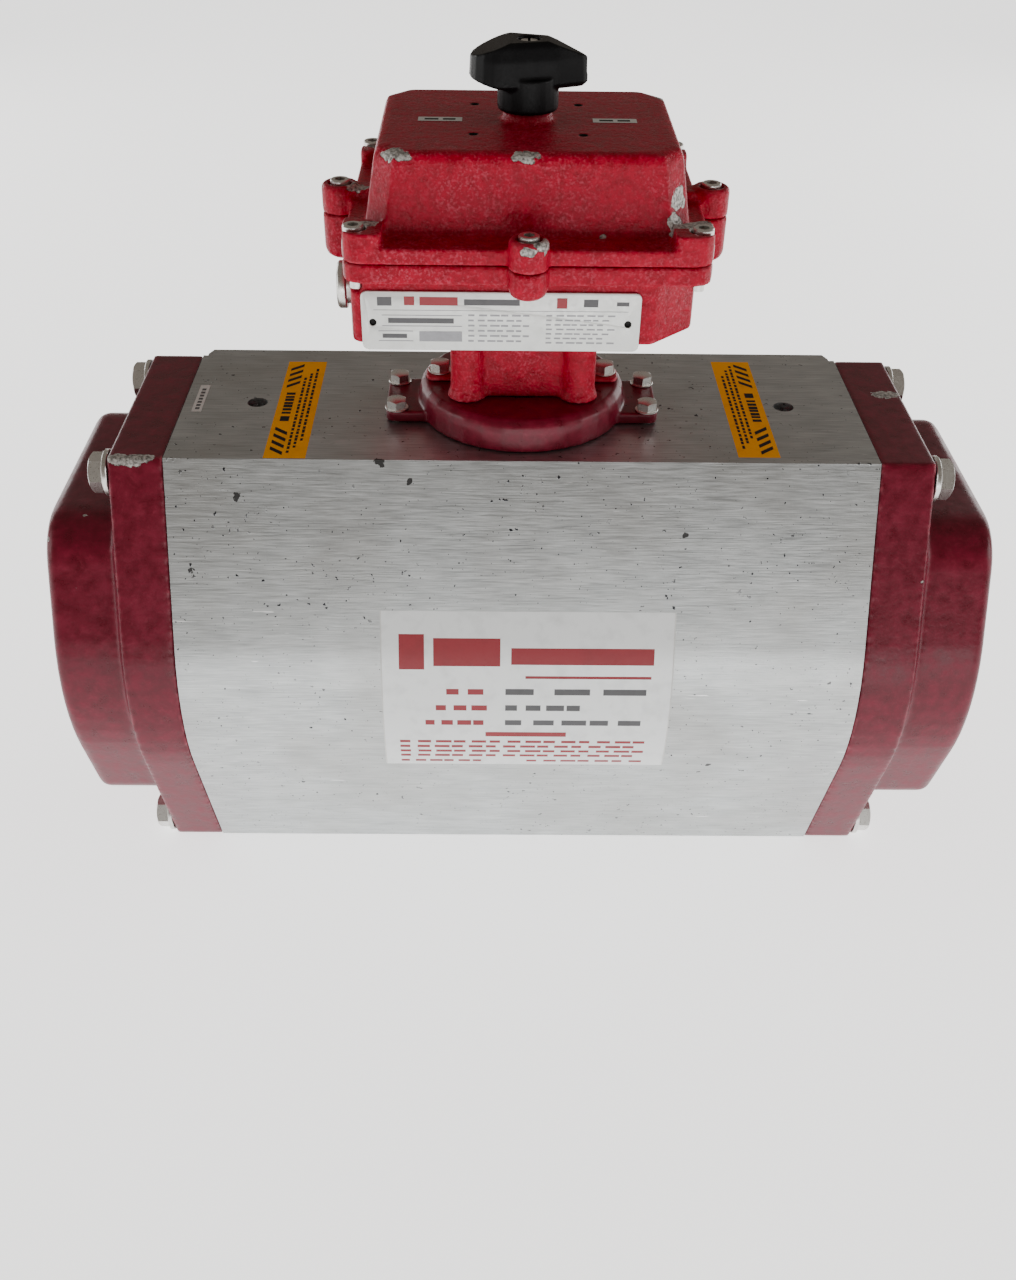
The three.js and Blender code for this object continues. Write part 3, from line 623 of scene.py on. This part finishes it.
def monitor_plate_print():
    """The print on the nameplate: marks along the top, two fields at the left, text at the right."""
    face = flat_point((-80.5, -71.5, 336), (1, 0, 0), (0, 0, 1), 0.05)
    areas = [
        bar(1, 8, 22.5, 15, 26.8), bar(0, 21, 22.8, 26, 27.2), bar(0, 28.5, 22.8, 47, 27.0),
        bar(1, 50, 23.0, 77, 26.0), bar(0, 95, 21.8, 100, 27.0), bar(1, 108, 22.6, 115, 26.4),
        bar(1, 124, 23.2, 130, 25.2), bar(2, 6, 20.2, 130, 20.5),
        bar(2, 10, 12.2, 49, 12.6), bar(2, 10, 17.6, 49, 18.0), bar(1, 13, 13.8, 45, 16.4),
        bar(2, 8, 4.6, 25, 5.0), bar(2, 8, 9.6, 25, 10.0), bar(1, 10, 6.2, 22, 8.4),
        bar(2, 28, 4.6, 49, 9.8),
    ]
    for k in range(6):
        areas += broken_line(2, 52, 84 - 4 * (k % 2), 17.6 - 2.6 * k, 0.9, 6)
    for k in range(7):
        areas += broken_line(2, 90, 125 - 3 * (k % 3), 17.8 - 2.3 * k, 0.8, 7)
    label("monitor_plate_print", face, areas, [RED_INK, GREY_INK, MATERIALS["dark_steel"]])


def make_labels():
    hatched_labels()
    small_tag()
    front_label()
    cover_tags()
    monitor_plate_print()


# ------------------------------------------------------------------ build
# Nodes whose faces are so long and thin that a bevel would tear them.
LARGE_FLATS = ("cylinder_body", "left_piston", "right_piston", "pinion")


def dress_cad_nodes():
    """Materials for the nodes that stay, and edges that are eased, or sharp on the large flats."""
    slots = {entry["node"]: entry["material_slot"] for entry in frame["record"]["subparts"]}
    for name, node in frame["nodes"].items():
        node.data.materials.clear()
        node.data.materials.append(MATERIALS[slots[name]])
        weld = node.modifiers.new("weld", "WELD")
        weld.merge_threshold = WELD_GAP
        node.data.shade_smooth()
        if name in LARGE_FLATS:
            split = node.modifiers.new("split", "EDGE_SPLIT")
            split.split_angle = math.radians(30)
            continue
        ease = node.modifiers.new("ease", "BEVEL")
        ease.width = 0.0003
        ease.segments = 2
        ease.limit_method = "ANGLE"
        ease.angle_limit = math.radians(35)
        ease.harden_normals = True


def make_castings():
    cast_copy("left_end_cap", "housing", "cap_paint", 1.7, 7, 0.35)
    cast_copy("right_end_cap", "housing", "cap_paint", 1.7, 7, 0.35)
    cast_copy("adapter", "housing", "cap_paint", 1.0, 6, 0.5)
    cast_copy("monitor_housing", "housing", "monitor_paint", 1.15, 5, 0.4)
    cast_copy("monitor_cover", "housing", "monitor_paint", 1.15, 5, 0.4)
    cast_copy("pointer_knob", "drive_shaft", "knob_plastic", 0.6, 5, 0.5)


def make_stage():
    """A pale floor that gives off light of its own."""
    half = 6.0
    corners = [(-half, -half, 0), (half, -half, 0), (half, half, 0), (-half, half, 0)]
    floor_mesh = bpy.data.meshes.new("floor")
    floor_mesh.from_pydata(corners, [], [(0, 1, 2, 3)])
    floor = bpy.data.objects.new("floor", floor_mesh)
    bpy.context.collection.objects.link(floor)
    s = Surface("floor_paper", roughness=0.8)
    s.set("Base Color", s.mix(s.noise(0.4, 2), (0.86, 0.86, 0.85), (0.90, 0.90, 0.89)))
    s.set("Emission Color", (1.0, 1.0, 1.0))
    s.set("Emission Strength", 1.7)
    floor_mesh.materials.append(s.material)


def area_light(name, at, target, size, power):
    """A rectangular light at a place, turned towards a target (metres and watts)."""
    data = bpy.data.lights.new(name, "AREA")
    data.shape = "RECTANGLE"
    data.size, data.size_y = size
    data.energy = power
    lamp = bpy.data.objects.new(name, data)
    lamp.location = at
    lamp.rotation_euler = (Vector(target) - Vector(at)).to_track_quat("-Z", "Y").to_euler()
    bpy.context.collection.objects.link(lamp)


def make_lights():
    """Most light comes up from the floor and from low in front, so that faces turned up stay dark."""
    world = bpy.data.worlds.new("studio")
    bpy.context.scene.world = world
    world.use_nodes = True
    background = world.node_tree.nodes["Background"]
    background.inputs["Color"].default_value = (1.0, 0.88, 0.76, 1)
    background.inputs["Strength"].default_value = 0.24
    area_light("key_front", (0.3, -1.6, 0.14), (0, 0, 0.3), (1.6, 0.25), 5)
    for side, name, power in ((-1, "left", 8), (1, "right", 9)):
        area_light(f"side_{name}", (1.8 * side, -0.3, 0.7), (0, 0, 0.2), (1.0, 0.8), power)
        area_light(f"back_{name}", (1.5 * side, 1.4, 0.6), (0, 0, 0.2), (1.0, 0.8), power)


make_camera()
dress_cad_nodes()
make_castings()
make_fasteners()
make_springs()
make_labels()
make_stage()
make_lights()
